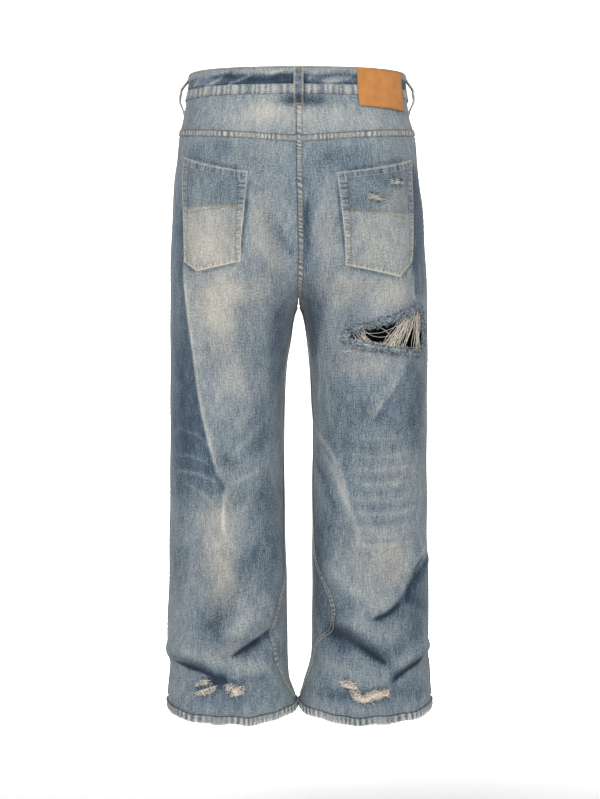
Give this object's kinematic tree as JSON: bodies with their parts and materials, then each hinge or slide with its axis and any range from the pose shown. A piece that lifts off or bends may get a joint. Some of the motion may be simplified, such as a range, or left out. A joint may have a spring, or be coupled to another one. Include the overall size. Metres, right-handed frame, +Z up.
{
  "type": "ripped jeans",
  "caption": "Baggy faded blue jeans, filled out as worn with no wearer, with a big rip across the back of one thigh, frayed hems and a blank tan leather patch.",
  "frame": {"origin": "the middle of the waist hollow, half-way up the waistband at the back, where the wearer holds the jeans up", "axes": "+Z up, +Y towards the back of the jeans, +X towards the wearer's left"},
  "size_m": [0.4332, 0.2324, 1.0561],
  "materials": {
    "denim": "washed blue-grey cotton denim with cream-beige fades, matt",
    "denim_dark": "darker blue cotton denim of the waistband and loops, matt",
    "thread_cream": "cream cotton weft threads and frayed edges",
    "thread_tan": "tan-gold polyester topstitching",
    "patch_leather": "tan-orange vegetable-tanned leather, half matt",
    "button_metal": "aged brass, half gloss"
  },
  "bodies": {
    "root": {"waistband": "denim_dark", "yoke_left": "denim", "back_leg_left": "denim", "front_leg_left": "denim", "front_pocket_facing_left": "denim", "back_pocket_left": "denim", "belt_loop_side_left": "denim_dark", "belt_loop_front_left": "denim_dark", "yoke_right": "denim", "back_leg_right": "denim", "front_leg_right": "denim", "front_pocket_facing_right": "denim", "back_pocket_right": "denim", "belt_loop_side_right": "denim_dark", "belt_loop_front_right": "denim_dark", "belt_loop_back": "denim_dark", "fly": "denim", "patch": "patch_leather", "waist_button": "button_metal"}
  },
  "joints": []
}
